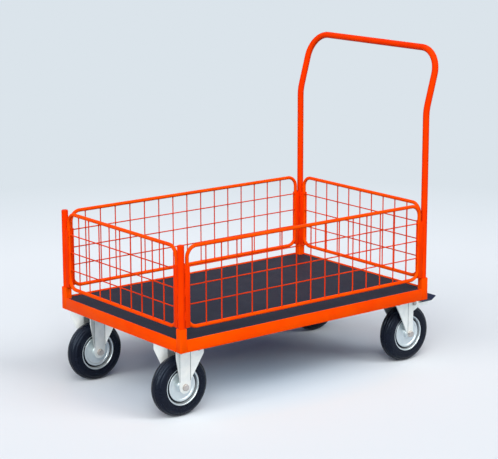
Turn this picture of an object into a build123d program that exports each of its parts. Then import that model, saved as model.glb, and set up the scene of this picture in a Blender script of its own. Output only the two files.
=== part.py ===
from build123d import *
from math import degrees, radians, sqrt, tan
import os

# A mesh-sided platform trolley. The origin lies on the floor under the middle of the deck,
# +X points to the push handle and +Z up. Left and right are those of the person who pushes,
# so the left side is at -Y. All sizes are in millimetres.

# Deck frame of angle iron, welded between the corner sockets
deck_length = 1040.0
deck_width = 680.0
angle_leg = 40.0
angle_thickness = 4.0
angle_root_radius = 5.0
angle_toe_radius = 1.5

# Deck board let into the frame on cross bearers of flat tube
frame_lip = 4.0
board_thickness = 12.0
board_gap = 1.0
board_edge = 0.8
bearer_count = 5
bearer_width = 40.0
bearer_wall = 2.0

# Corner sockets, posts and push handle, which share one round tube
tube_diameter = 22.0
tube_wall = 2.0
socket_wall = 1.2
socket_corner = 3.0
socket_clearance = 0.3
socket_rise = 35.0
post_rise = 298.0
post_edge = 4.0
handle_height = 1085.0
handle_bend_drop = 200.0
handle_rake = 57.0
handle_bend_radius = 150.0
handle_corner_radius = 85.0

# Guide channels on the posts, each with a stop that carries a panel
channel_wall = 2.0
channel_depth = 17.0
channel_rise = 233.0
channel_foot_gap = 2.0
channel_stop = 4.0
channel_side_play = 0.6
panel_seat_gap = 0.3

# Lift-out panels: a bent bar rim with welded wire mesh
bar_diameter = 12.0
bar_end_play = 4.0
bar_corner_radius = 35.0
panel_height = 255.0
wire_diameter = 4.0
wire_sides = 8
wire_weld = 1.0
wire_crossing_gap = 0.02
wire_pitch = 60.0
mesh_margin = 45.0
side_mesh_shift = 6.0
cross_wire_shift = 5.0

# Wheels: solid rubber tyre on a hollow pressed centre
wheel_diameter = 200.0
tyre_width = 50.0
tyre_shoulder_width = 17.0
tyre_shoulder_height = 21.0
tyre_shoulder_bulge = 6.5
tyre_seat_gap = 0.3
rim_radius = 62.5
rim_inset = 3.0
rim_lip_width = 6.5
rim_groove_width = 5.5
rim_groove_depth = 16.0
rim_ridge_width = 7.0
rim_ridge_inset = 4.0
rim_disc_inset = 6.5
rim_wall = 4.0
hub_radius = 17.0
hub_end_gap = 0.3

# Axle bolts
axle_diameter = 12.0
axle_flats = 18.0
axle_head = 7.5
running_gap = 0.05

# Castor plates and pressed forks
castor_end_inset = 62.0
castor_side_inset = 98.0
castor_headroom = 30.0
plate_length = 105.0
plate_width = 135.0
plate_thickness = 5.0
plate_corner = 8.0
backing_overlap = 10.0
fork_side_gap = 5.5
leg_thickness = 4.0
fixed_leg_half = 20.5
fixed_leg_flare = 0.85
fixed_leg_straight = 20.0
fixed_leg_brow = 19.0

# Swivel heads of the rear castors
swivel_trail = 45.0
swivel_leg_half = 12.0
swivel_leg_flare = 0.14
swivel_brow = 20.0
swivel_brow_drop = 33.0
swivel_ear_reach = 34.0
swivel_ear_root = 38.0
swivel_ear_tip = 28.0
swivel_head = 12.0
swivel_gap = 0.6
race_radius = 34.0
crown_thickness = 5.0
kingpin_diameter = 16.0
kingpin_flats = 24.0
kingpin_head = 9.0
kingpin_gap = 0.3

# Foot brakes of the rear castors
brake_back = 16.0
brake_rise = 7.0
brake_bolt_diameter = 8.0
brake_bolt_flats = 13.0
brake_bolt_head = 5.0
lever_inside_width = 47.0
lever_sheet = 3.0
lever_eye_radius = 9.0
lever_bush_radius = 6.0
lever_side_gap = 0.5
lever_drop = 6.0
lever_depth = 11.0
lever_neck = 30.0
lever_web_start = 22.0
lever_length = 76.0
shoe_length = 20.0
shoe_gap = 4.0
pedal_overhang = 6.5
pedal_thickness = 5.0
pedal_start = 40.0
pedal_knee = 84.0
pedal_toe_length = 20.0
pedal_toe_angle = 32.0

# Places worked out from the sizes above
up = (0, 0, 1)
wheel_radius = wheel_diameter / 2
plate_floor = wheel_diameter + castor_headroom
frame_floor = plate_floor + plate_thickness
frame_top = frame_floor + angle_leg
rail_floor = frame_floor + angle_thickness
board_top = frame_top - frame_lip
bearer_height = angle_leg - angle_thickness - frame_lip - board_thickness
tube_radius = tube_diameter / 2
socket_bore = tube_diameter + 2 * socket_clearance
socket_side = socket_bore + 2 * socket_wall
socket_top = frame_top + socket_rise
post_x = (deck_length - socket_side) / 2
post_y = (deck_width - socket_side) / 2
channel_foot = socket_top + channel_foot_gap
channel_mouth = tube_radius + channel_depth
channel_inside = bar_diameter + 2 * channel_side_play
bar_radius = bar_diameter / 2
bar_offset = tube_radius + channel_wall + bar_end_play + bar_radius
castor_x = deck_length / 2 - castor_end_inset
castor_y = deck_width / 2 - castor_side_inset
fork_gap = tyre_width + 2 * fork_side_gap
leg_seat = fork_gap / 2 + leg_thickness
crown_top = plate_floor - swivel_head

# The bend of a panel's rim rests on the edge of the stop, so its height follows from the two radii
bend_reach = bar_corner_radius + bar_radius + panel_seat_gap
bend_run = bar_offset + bar_corner_radius - channel_mouth
panel_floor = channel_foot + channel_stop + sqrt(bend_reach**2 - bend_run**2) - bar_corner_radius

os.makedirs("parts", exist_ok=True)


def keep(piece, name):
    """Labels a finished piece and writes it to its own file."""
    piece.label = name
    export_step(piece, f"parts/{name}.step")


def upright(x, y, z, side=-1):
    """A plane that stands along X and faces -Y, or +Y where side is 1, with its own y upwards."""
    return Plane((x, y, z), x_dir=(-side, 0, 0), z_dir=(0, side, 0))


def build_bar(path, outer, bore=0):
    """A round bar or tube along a path of straight runs and bends."""
    with BuildPart() as bar:
        for run in path.edges():
            with BuildSketch(Plane(run @ 0, z_dir=run % 0)):
                Circle(outer)
                if bore:
                    Circle(bore, mode=Mode.SUBTRACT)
            if run.geom_type == GeomType.LINE:
                extrude(amount=run.length)
            else:
                bend = Axis(run.arc_center, (run % 0).cross(run % 1))
                revolve(axis=bend, revolution_arc=degrees(run.length / run.radius))
    return bar.part


# Frame rails
# A rail lies on its edge plane: x along the rail, y inwards, origin on the lower outer edge.
# Its lower leg is mitred against the next rail behind the corner socket.
def build_rail(name, edge, span):
    length = span - 2 * socket_side
    mitre = angle_leg - socket_side
    start = edge.from_local_coords((-length / 2, 0, 0))
    with BuildPart() as rail:
        with BuildSketch(Plane(start, x_dir=edge.y_dir, z_dir=edge.x_dir)) as section:
            with BuildLine():
                Polyline(
                    (0, 0),
                    (angle_leg, 0),
                    (angle_leg, angle_thickness),
                    (angle_thickness, angle_thickness),
                    (angle_thickness, angle_leg),
                    (0, angle_leg),
                    close=True,
                )
            make_face()
            root = section.vertices().sort_by_distance((angle_thickness, angle_thickness))[0]
            fillet(root, angle_root_radius)
            toes = section.vertices().filter_by(lambda v: max(v.X, v.Y) > angle_leg - angle_thickness / 2)
            fillet([v for v in toes if min(v.X, v.Y) > angle_thickness / 2], angle_toe_radius)
        extrude(amount=length)
        with BuildSketch(edge):
            for end in (-1, 1):
                with BuildLine():
                    Polyline(
                        (end * length / 2, socket_side),
                        (end * length / 2, angle_leg),
                        (end * (length / 2 - mitre), angle_leg),
                        close=True,
                    )
                make_face()
        extrude(amount=angle_leg, mode=Mode.SUBTRACT)
    keep(rail.part, name)


build_rail("front_rail", Plane((-deck_length / 2, 0, frame_floor), (0, -1, 0), up), deck_width)
build_rail("rear_rail", Plane((deck_length / 2, 0, frame_floor), (0, 1, 0), up), deck_width)
build_rail("left_rail", Plane((0, -deck_width / 2, frame_floor), (1, 0, 0), up), deck_length)
build_rail("right_rail", Plane((0, deck_width / 2, frame_floor), (-1, 0, 0), up), deck_length)

# Corner sockets: square tube, closed by a floor on which the post stands
with BuildPart() as sockets:
    with BuildSketch(Plane.XY.offset(frame_floor)):
        with GridLocations(2 * post_x, 2 * post_y, 2, 2):
            RectangleRounded(socket_side, socket_side, socket_corner)
    extrude(amount=angle_leg + socket_rise)
    with BuildSketch(Plane.XY.offset(rail_floor)):
        with GridLocations(2 * post_x, 2 * post_y, 2, 2):
            Rectangle(socket_bore, socket_bore)
    extrude(amount=angle_leg + socket_rise, mode=Mode.SUBTRACT)
keep(sockets.part, "post_sockets")

# Backing plates over the castors, level with the lower legs of the rails
backing_length = castor_end_inset + plate_length / 2 + backing_overlap - angle_leg
backing_width = castor_side_inset + plate_width / 2 + backing_overlap - angle_leg
with BuildPart() as backing:
    with BuildSketch(Plane.XY.offset(frame_floor)):
        gap_x = deck_length - 2 * angle_leg - backing_length
        gap_y = deck_width - 2 * angle_leg - backing_width
        with GridLocations(gap_x, gap_y, 2, 2):
            Rectangle(backing_length, backing_width)
    extrude(amount=angle_thickness)
keep(backing.part, "castor_backing_plates")

# Deck bearers from side rail to side rail
bearer_length = deck_width - 2 * (angle_thickness + angle_root_radius + board_gap)
with BuildPart() as bearers:
    with BuildSketch(upright(0, 0, rail_floor + bearer_height / 2)):
        with GridLocations(2 * castor_x / (bearer_count - 1), 0, bearer_count, 1):
            Rectangle(bearer_width, bearer_height)
            Rectangle(bearer_width - 2 * bearer_wall, bearer_height - 2 * bearer_wall, mode=Mode.SUBTRACT)
    extrude(amount=bearer_length / 2, both=True)
keep(bearers.part, "deck_bearers")

# Deck board, notched round the sockets
board_inset = angle_thickness + board_gap
board_length = deck_length - 2 * board_inset
board_width = deck_width - 2 * board_inset
notch = socket_side + board_gap - board_inset
with BuildPart() as board:
    with BuildSketch(Plane.XY.offset(board_top - board_thickness)):
        Rectangle(board_length, board_width)
        with GridLocations(board_length, board_width, 2, 2):
            Rectangle(2 * notch, 2 * notch, mode=Mode.SUBTRACT)
    extrude(amount=board_thickness)
    chamfer(board.faces().sort_by(Axis.Z)[-1].edges(), board_edge)
keep(board.part, "deck_board")


# Front posts: tube with a closed, rounded top
def build_post(name, x, y):
    height = frame_top + post_rise - rail_floor
    with BuildPart() as post:
        with BuildSketch(Plane((x, y, rail_floor))):
            Circle(tube_radius)
        extrude(amount=height)
        fillet(post.edges().sort_by(Axis.Z)[-1], post_edge)
        with BuildSketch(Plane((x, y, rail_floor))):
            Circle(tube_radius - tube_wall)
        extrude(amount=height - post_edge, mode=Mode.SUBTRACT)
    keep(post.part, name)


build_post("front_left_post", -post_x, -post_y)
build_post("front_right_post", -post_x, post_y)

# Push handle: one bent tube, raked back above the bend
handle_bend = handle_height - handle_bend_drop
handle_x = post_x + handle_rake
with BuildLine() as handle_path:
    FilletPolyline(
        (post_x, -post_y, rail_floor),
        (post_x, -post_y, handle_bend),
        (handle_x, -post_y, handle_height),
        (handle_x, post_y, handle_height),
        (post_x, post_y, handle_bend),
        (post_x, post_y, rail_floor),
        radius=[handle_bend_radius, handle_corner_radius, handle_corner_radius, handle_bend_radius],
    )
keep(build_bar(handle_path.line, tube_radius, tube_radius - tube_wall), "handle_tube")


# Guide channels: two to a post, open towards the panels and closed below by the stop
def build_channels(name, side_x, side_y):
    foot = (side_x * post_x, side_y * post_y, channel_foot)
    length = frame_top + channel_rise - channel_foot
    with BuildPart() as channels:
        for inwards in ((-side_x, 0, 0), (0, -side_y, 0)):
            base = Plane(foot, x_dir=inwards, z_dir=up)
            with BuildSketch(base):
                with Locations((tube_radius + channel_depth / 2, 0)):
                    Rectangle(channel_depth, channel_inside + 2 * channel_wall)
            extrude(amount=length)
            with BuildSketch(base.offset(channel_stop)):
                with Locations((tube_radius + channel_wall + channel_depth / 2, 0)):
                    Rectangle(channel_depth, channel_inside)
            extrude(amount=length, mode=Mode.SUBTRACT)
    keep(channels.part, name)


build_channels("front_left_channels", -1, -1)
build_channels("front_right_channels", -1, 1)
build_channels("rear_left_channels", 1, -1)
build_channels("rear_right_channels", 1, 1)


# Panels
# A panel lies on a plane of its own: x along the bottom bar, y up, z outwards.
# The uprights run outside the cross wires, and all ends are welded into the rim.
def build_panel(name, place, length, upright_shift, row_shift):
    half = length / 2
    with BuildLine(place) as rim_path:
        FilletPolyline(
            (-half, 0),
            (half, 0),
            (half, panel_height),
            (-half, panel_height),
            radius=bar_corner_radius,
            close=True,
        )
    keep(build_bar(rim_path.line, bar_radius), f"{name}_rim")

    upright_count = int((length - 2 * mesh_margin) / wire_pitch) + 1
    row_count = int((panel_height - 2 * mesh_margin) / wire_pitch) + 1
    reach = bar_radius - wire_weld
    wire_turn = 180 / wire_sides
    layer = (wire_diameter + wire_crossing_gap) / 2
    upright_feet = place.from_local_coords((upright_shift, reach, layer))
    row_starts = place.from_local_coords((reach - half, panel_height / 2 + row_shift, -layer))
    with BuildPart() as mesh:
        with BuildSketch(Plane(upright_feet, x_dir=place.x_dir, z_dir=place.y_dir)):
            with GridLocations(wire_pitch, 0, upright_count, 1):
                RegularPolygon(wire_diameter / 2, wire_sides, major_radius=False, rotation=wire_turn)
        extrude(amount=panel_height - 2 * reach)
        with BuildSketch(Plane(row_starts, x_dir=place.y_dir, z_dir=place.x_dir)):
            with GridLocations(wire_pitch, 0, row_count, 1):
                RegularPolygon(wire_diameter / 2, wire_sides, major_radius=False, rotation=wire_turn)
        extrude(amount=length - 2 * reach)
    keep(mesh.part, f"{name}_mesh")


side_length = 2 * (post_x - bar_offset)
end_length = 2 * (post_y - bar_offset)
left_place = Plane((0, -post_y, panel_floor), x_dir=(1, 0, 0), z_dir=(0, -1, 0))
right_place = Plane((0, post_y, panel_floor), x_dir=(-1, 0, 0), z_dir=(0, 1, 0))
front_place = Plane((-post_x, 0, panel_floor), x_dir=(0, -1, 0), z_dir=(-1, 0, 0))
rear_place = Plane((post_x, 0, panel_floor), x_dir=(0, 1, 0), z_dir=(1, 0, 0))
build_panel("left_panel", left_place, side_length, side_mesh_shift, cross_wire_shift)
build_panel("right_panel", right_place, side_length, side_mesh_shift, cross_wire_shift)
build_panel("front_panel", front_place, end_length, 0, -cross_wire_shift)
build_panel("rear_panel", rear_place, end_length, 0, cross_wire_shift)


# Wheels
# The section is drawn with x as the radius and y along the axle, from the points of its outer half.
def both_halves(points):
    """A closed outline from the points of one half and their mirror images."""
    return points + [(radius, -width) for radius, width in reversed(points)]


def build_wheel(name, x, y):
    centre = (x, y, wheel_radius)
    section_plane = Plane(centre, x_dir=up, z_dir=(-1, 0, 0))
    spin = Axis(centre, (0, 1, 0))
    half_tyre = tyre_width / 2
    with BuildPart() as tyre:
        with BuildSketch(section_plane):
            with BuildLine():
                tread = [
                    (rim_radius + tyre_seat_gap, half_tyre),
                    (wheel_radius - tyre_shoulder_height, half_tyre),
                    (wheel_radius - tyre_shoulder_bulge, half_tyre - tyre_shoulder_bulge),
                    (wheel_radius, half_tyre - tyre_shoulder_width),
                ]
                Polyline(*both_halves(tread), close=True)
            make_face()
        revolve(axis=spin)
    keep(tyre.part, f"{name}_tyre")

    lip = half_tyre - rim_inset
    groove_edge = rim_radius - rim_lip_width
    ridge_edge = groove_edge - rim_groove_width
    disc = lip - rim_disc_inset
    with BuildPart() as rim:
        with BuildSketch(section_plane):
            with BuildLine():
                pressing = [
                    (axle_diameter / 2 + running_gap, fork_gap / 2 - hub_end_gap),
                    (hub_radius, fork_gap / 2 - hub_end_gap),
                    (hub_radius, disc),
                    (ridge_edge - rim_ridge_width, disc),
                    (ridge_edge - rim_ridge_width, lip - rim_ridge_inset),
                    (ridge_edge, lip - rim_ridge_inset),
                    (ridge_edge, lip - rim_groove_depth),
                    (groove_edge, lip - rim_groove_depth),
                    (groove_edge, lip),
                    (rim_radius, lip),
                ]
                Polyline(*both_halves(pressing), close=True)
            make_face()
            with BuildLine():
                hollow = [(hub_radius, disc - rim_wall), (ridge_edge - rim_wall, disc - rim_wall)]
                Polyline(*both_halves(hollow), close=True)
            make_face(mode=Mode.SUBTRACT)
        revolve(axis=spin)
    keep(rim.part, f"{name}_rim")


def build_axle(name, x, y):
    """A hexagon bolt through both fork legs, with its nut."""
    with BuildPart() as axle:
        with BuildSketch(upright(x, y, wheel_radius)):
            Circle(axle_diameter / 2)
        extrude(amount=leg_seat, both=True)
        for side in (-1, 1):
            with BuildSketch(upright(x, y + side * leg_seat, wheel_radius, side)):
                RegularPolygon(axle_flats / 2, 6, major_radius=False)
            extrude(amount=axle_head)
    keep(axle.part, name)


# Forks
# A leg is flat in the middle, where the bolts sit, and its wings flare outwards beyond two creases.
def build_legs(x, y, half, flat_back, flare, outline):
    """The pair of legs of one fork, cut to an outline that widens upwards from the axle."""
    wing = plate_width
    trough = [(-half - wing, flare * wing), (-half, 0), (flat_back, 0), (flat_back + wing, flare * wing)]
    trough_back = [(along, out + leg_thickness) for along, out in reversed(trough)]
    with BuildPart() as legs:
        for side in (-1, 1):
            with BuildSketch(Plane((x, y + side * fork_gap / 2, 0))):
                with BuildLine():
                    Polyline(*[(along, side * out) for along, out in trough + trough_back], close=True)
                make_face()
            extrude(amount=plate_floor)
        with BuildSketch(upright(x, y, wheel_radius)):
            Circle(half)
            with BuildLine():
                Polyline((-half, 0), (half, 0), *outline, close=True)
            make_face()
            Circle(axle_diameter / 2, mode=Mode.SUBTRACT)
        extrude(amount=plate_width, both=True, mode=Mode.INTERSECT)
    return legs.part


def build_fixed_fork(name, x, y):
    """A fork pressed in one piece with its castor plate."""
    rise = plate_floor - wheel_radius
    outline = [
        (fixed_leg_half, fixed_leg_straight),
        (plate_length / 2, rise - fixed_leg_brow),
        (plate_length / 2, rise),
        (-plate_length / 2, rise),
        (-plate_length / 2, rise - fixed_leg_brow),
        (-fixed_leg_half, fixed_leg_straight),
    ]
    with BuildPart() as fork:
        add(build_legs(x, y, fixed_leg_half, fixed_leg_half, fixed_leg_flare, outline))
        with BuildSketch(Plane((x, y, plate_floor))):
            RectangleRounded(plate_length, plate_width, plate_corner)
        extrude(amount=plate_thickness)
    keep(fork.part, name)


def build_swivel_fork(name, x, y):
    """A fork under a crown that turns about the kingpin, with ears behind for the brake bolt."""
    axle_x = x + swivel_trail
    front = swivel_trail + race_radius
    rise = crown_top - wheel_radius
    outline = [
        (swivel_leg_half, rise - swivel_ear_root),
        (swivel_ear_reach, rise - swivel_ear_tip),
        (swivel_ear_reach, rise),
        (-front, rise),
        (swivel_brow - front, rise - swivel_brow_drop),
    ]
    brow = leg_seat + swivel_leg_flare * (front - swivel_leg_half)
    shoulders = [(0, leg_seat), (-swivel_leg_half, leg_seat), (-front, brow)]
    with BuildPart() as fork:
        add(build_legs(axle_x, y, swivel_leg_half, swivel_ear_reach, swivel_leg_flare, outline))
        with BuildSketch(Plane((axle_x, y, crown_top - crown_thickness))):
            with BuildLine():
                Polyline(*both_halves(shoulders), close=True)
            make_face()
        extrude(amount=crown_thickness)
        with BuildSketch(Plane((x, y, crown_top))):
            Circle(race_radius)
        extrude(amount=(swivel_head - swivel_gap) / 2)
        with BuildSketch(Plane((x, y, crown_top - crown_thickness))):
            Circle(kingpin_diameter / 2 + running_gap)
        extrude(amount=crown_thickness + swivel_head, mode=Mode.SUBTRACT)
        with BuildSketch(upright(axle_x + brake_back, y, wheel_diameter + brake_rise)):
            Circle(brake_bolt_diameter / 2)
        extrude(amount=plate_width, both=True, mode=Mode.SUBTRACT)
    keep(fork.part, name)


def build_swivel_head(name, x, y):
    """The castor plate with the upper race, and the kingpin that hangs from it."""
    race_floor = plate_floor - (swivel_head - swivel_gap) / 2
    with BuildPart() as plate:
        with BuildSketch(Plane((x, y, plate_floor))):
            RectangleRounded(plate_length, plate_width, plate_corner)
        extrude(amount=plate_thickness)
        with BuildSketch(Plane((x, y, race_floor))):
            Circle(race_radius)
        extrude(amount=plate_floor - race_floor)
        with BuildSketch(Plane((x, y, race_floor))):
            Circle(kingpin_diameter / 2)
        extrude(amount=frame_floor - race_floor, mode=Mode.SUBTRACT)
    keep(plate.part, f"{name}_top_plate")

    head_top = crown_top - crown_thickness - kingpin_gap
    with BuildPart() as kingpin:
        with BuildSketch(Plane((x, y, head_top - kingpin_head))):
            RegularPolygon(kingpin_flats / 2, 6, major_radius=False)
        extrude(amount=kingpin_head)
        with BuildSketch(Plane((x, y, head_top))):
            Circle(kingpin_diameter / 2)
        extrude(amount=frame_floor - head_top)
    keep(kingpin.part, f"{name}_kingpin")


# Foot brakes
# Two cheeks straddle the tyre behind the brake bolt and turn on it with their bush.
# A web joins them above the tread and carries the shoe, which follows the tread.
def build_brake(name, axle_x, y):
    pivot_x = axle_x + brake_back
    pivot_z = wheel_diameter + brake_rise
    lever_top = pivot_z - lever_drop
    cheek = lever_inside_width / 2
    with BuildPart() as lever:
        for side in (-1, 1):
            with BuildSketch(upright(pivot_x, y + side * cheek, pivot_z, side)):
                with BuildLine():
                    reach = -side
                    Polyline(
                        (reach * lever_web_start, -lever_drop - lever_depth),
                        (reach * lever_length, -lever_drop - lever_depth),
                        (reach * lever_length, -lever_drop),
                        (reach * lever_neck, -lever_drop),
                        (0, lever_eye_radius),
                        (-reach * lever_eye_radius, 0),
                        (0, -lever_eye_radius),
                        close=True,
                    )
                make_face()
                Circle(lever_eye_radius)
                Circle(lever_bush_radius + running_gap, mode=Mode.SUBTRACT)
            extrude(amount=lever_sheet)
    keep(lever.part, f"{name}_brake_lever")

    with BuildPart() as bush:
        with BuildSketch(upright(pivot_x, y, pivot_z)):
            Circle(lever_bush_radius)
            Circle(brake_bolt_diameter / 2 + running_gap, mode=Mode.SUBTRACT)
        extrude(amount=fork_gap / 2 - lever_side_gap, both=True)
    keep(bush.part, f"{name}_brake_bush")

    with BuildPart() as shoe:
        with BuildSketch(upright(pivot_x, y, pivot_z)):
            web_length = lever_length - lever_web_start
            with Locations((lever_web_start + web_length / 2, -lever_drop - lever_sheet / 2)):
                Rectangle(web_length, lever_sheet)
            with Locations((lever_web_start + shoe_length / 2, -lever_drop - lever_depth / 2)):
                Rectangle(shoe_length, lever_depth)
            with Locations((-brake_back, -brake_rise - wheel_radius)):
                Circle(wheel_radius + shoe_gap, mode=Mode.SUBTRACT)
        extrude(amount=cheek, both=True)
    keep(shoe.part, f"{name}_brake_shoe")

    toe_rise = pedal_toe_length * tan(radians(pedal_toe_angle))
    with BuildPart() as pedal:
        with BuildSketch(upright(pivot_x, y, lever_top)):
            with BuildLine():
                treadle = FilletPolyline(
                    (pedal_start, pedal_thickness / 2),
                    (pedal_knee, pedal_thickness / 2),
                    (pedal_knee + pedal_toe_length, pedal_thickness / 2 + toe_rise),
                    radius=pedal_thickness,
                )
                offset(treadle, amount=pedal_thickness / 2, side=Side.BOTH)
            make_face()
        extrude(amount=cheek + lever_sheet + pedal_overhang, both=True)
    keep(pedal.part, f"{name}_brake_pedal")

    with BuildPart() as bolt:
        with BuildSketch(upright(pivot_x, y, pivot_z)):
            Circle(brake_bolt_diameter / 2)
        extrude(amount=leg_seat, both=True)
        for side in (-1, 1):
            with BuildSketch(upright(pivot_x, y + side * leg_seat, pivot_z, side)):
                RegularPolygon(brake_bolt_flats / 2, 6, major_radius=False)
            extrude(amount=brake_bolt_head)
    keep(bolt.part, f"{name}_brake_bolt")


for hand, castor_side in (("left", -1), ("right", 1)):
    middle_y = castor_side * castor_y
    build_wheel(f"front_{hand}", -castor_x, middle_y)
    build_axle(f"front_{hand}_axle", -castor_x, middle_y)
    build_fixed_fork(f"front_{hand}_fork", -castor_x, middle_y)
    rear_axle_x = castor_x + swivel_trail
    build_wheel(f"rear_{hand}", rear_axle_x, middle_y)
    build_axle(f"rear_{hand}_axle", rear_axle_x, middle_y)
    build_swivel_fork(f"rear_{hand}_fork", castor_x, middle_y)
    build_swivel_head(f"rear_{hand}", castor_x, middle_y)
    build_brake(f"rear_{hand}", rear_axle_x, middle_y)
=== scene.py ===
"""Looks of the mesh-sided platform trolley, dressed around its CAD frame. Sizes are in metres."""

import logging
import math
from dataclasses import dataclass
from enum import Enum
from typing import ClassVar, Sequence

import bmesh
import bpy
from mathutils import Matrix, Quaternion, Vector


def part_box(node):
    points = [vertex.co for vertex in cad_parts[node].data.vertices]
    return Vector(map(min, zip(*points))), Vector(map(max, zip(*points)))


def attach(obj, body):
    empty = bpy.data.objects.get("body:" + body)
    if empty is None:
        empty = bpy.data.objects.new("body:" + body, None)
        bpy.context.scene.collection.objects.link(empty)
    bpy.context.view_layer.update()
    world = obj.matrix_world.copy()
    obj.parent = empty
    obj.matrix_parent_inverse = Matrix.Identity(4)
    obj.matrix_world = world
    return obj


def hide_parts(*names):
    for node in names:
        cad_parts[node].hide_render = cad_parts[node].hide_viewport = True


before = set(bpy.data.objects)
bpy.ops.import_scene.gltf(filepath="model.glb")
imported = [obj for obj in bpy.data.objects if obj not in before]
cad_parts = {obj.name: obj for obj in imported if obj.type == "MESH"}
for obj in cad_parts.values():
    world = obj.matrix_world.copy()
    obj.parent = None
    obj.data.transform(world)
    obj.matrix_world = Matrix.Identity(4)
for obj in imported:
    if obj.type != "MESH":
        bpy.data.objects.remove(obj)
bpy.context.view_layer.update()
log = logging.getLogger("trolley")

MM = 0.001
CHASSIS = "chassis"
UP = Vector((0, 0, 1))
SIGNS = (-1, 1)
BEND_STEP = math.radians(6)
OUTLINE_STEP = math.radians(15)

Colour = tuple[float, float, float, float]
Triple = tuple[float, float, float]
Outline = list[tuple[float, float]]
Socket = bpy.types.NodeSocket
Tree = bpy.types.NodeTree


class Named(Enum):
    """Options whose names are part of the names of nodes and bodies."""

    @property
    def word(self) -> str:
        """The option's name as nodes and bodies have it."""
        return self.name.lower()


class Hand(Named):
    """The two sides, as the person who pushes the trolley sees them, with their sign along Y."""

    LEFT = -1
    RIGHT = 1


class End(Named):
    """The two ends with their sign along X: fixed castors in front, swivelling ones behind."""

    FRONT = -1
    REAR = 1


class PanelSide(Named):
    """The four lift-out panels, each with the direction of its bottom bar and the way outwards."""

    LEFT = ((1, 0, 0), (0, -1, 0))
    RIGHT = ((-1, 0, 0), (0, 1, 0))
    FRONT = ((0, -1, 0), (-1, 0, 0))
    REAR = ((0, 1, 0), (1, 0, 0))


# Meshes


def bent_route(
    corners: Sequence[Vector], radii: Sequence[float], closed: bool = False, step: float = BEND_STEP
) -> list[Vector]:
    """Replaces the corners of a route by arcs.

    Args:
        corners: The points where the straight runs would meet.
        radii: One bend radius for each corner, 0 for a sharp one.
        closed: True where the last point joins the first.
        step: The largest turn between neighbouring points of an arc, in radians.

    Returns:
        The points of the route, in order.
    """
    route: list[Vector] = []
    for index, (corner, radius) in enumerate(zip(corners, radii)):
        inner = closed or 0 < index < len(corners) - 1
        if not inner or radius <= 0:
            route.append(corner.copy())
            continue
        back = (corners[index - 1] - corner).normalized()
        ahead = (corners[(index + 1) % len(corners)] - corner).normalized()
        turn = math.pi - back.angle(ahead)
        centre = corner + (back + ahead).normalized() * radius / math.cos(turn / 2)
        spoke = corner + back * radius * math.tan(turn / 2) - centre
        axis = ahead.cross(back)
        count = max(2, math.ceil(turn / step))
        route += [centre + Quaternion(axis, turn * k / count) @ spoke for k in range(count + 1)]
    return route


def rounded_outline(corners: Sequence[Triple]) -> Outline:
    """Rounds the corners of a flat outline.

    Args:
        corners: First and second coordinate of each corner, and its radius.

    Returns:
        The points of the closed outline.
    """
    flat = [Vector((first, second, 0)) for first, second, _ in corners]
    route = bent_route(flat, [radius for _, _, radius in corners], True, OUTLINE_STEP)
    return [(point.x, point.y) for point in route]


def axis_place(origin: Vector, outwards: Vector) -> Matrix:
    """Returns a place at an origin, whose own Z axis points outwards."""
    turn = UP.rotation_difference(outwards)
    return Matrix.Translation(origin) @ turn.to_matrix().to_4x4()


def raised(place: Matrix, height: float) -> Matrix:
    """Returns a place moved along its own Z axis."""
    return place @ Matrix.Translation((0, 0, height))


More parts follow.
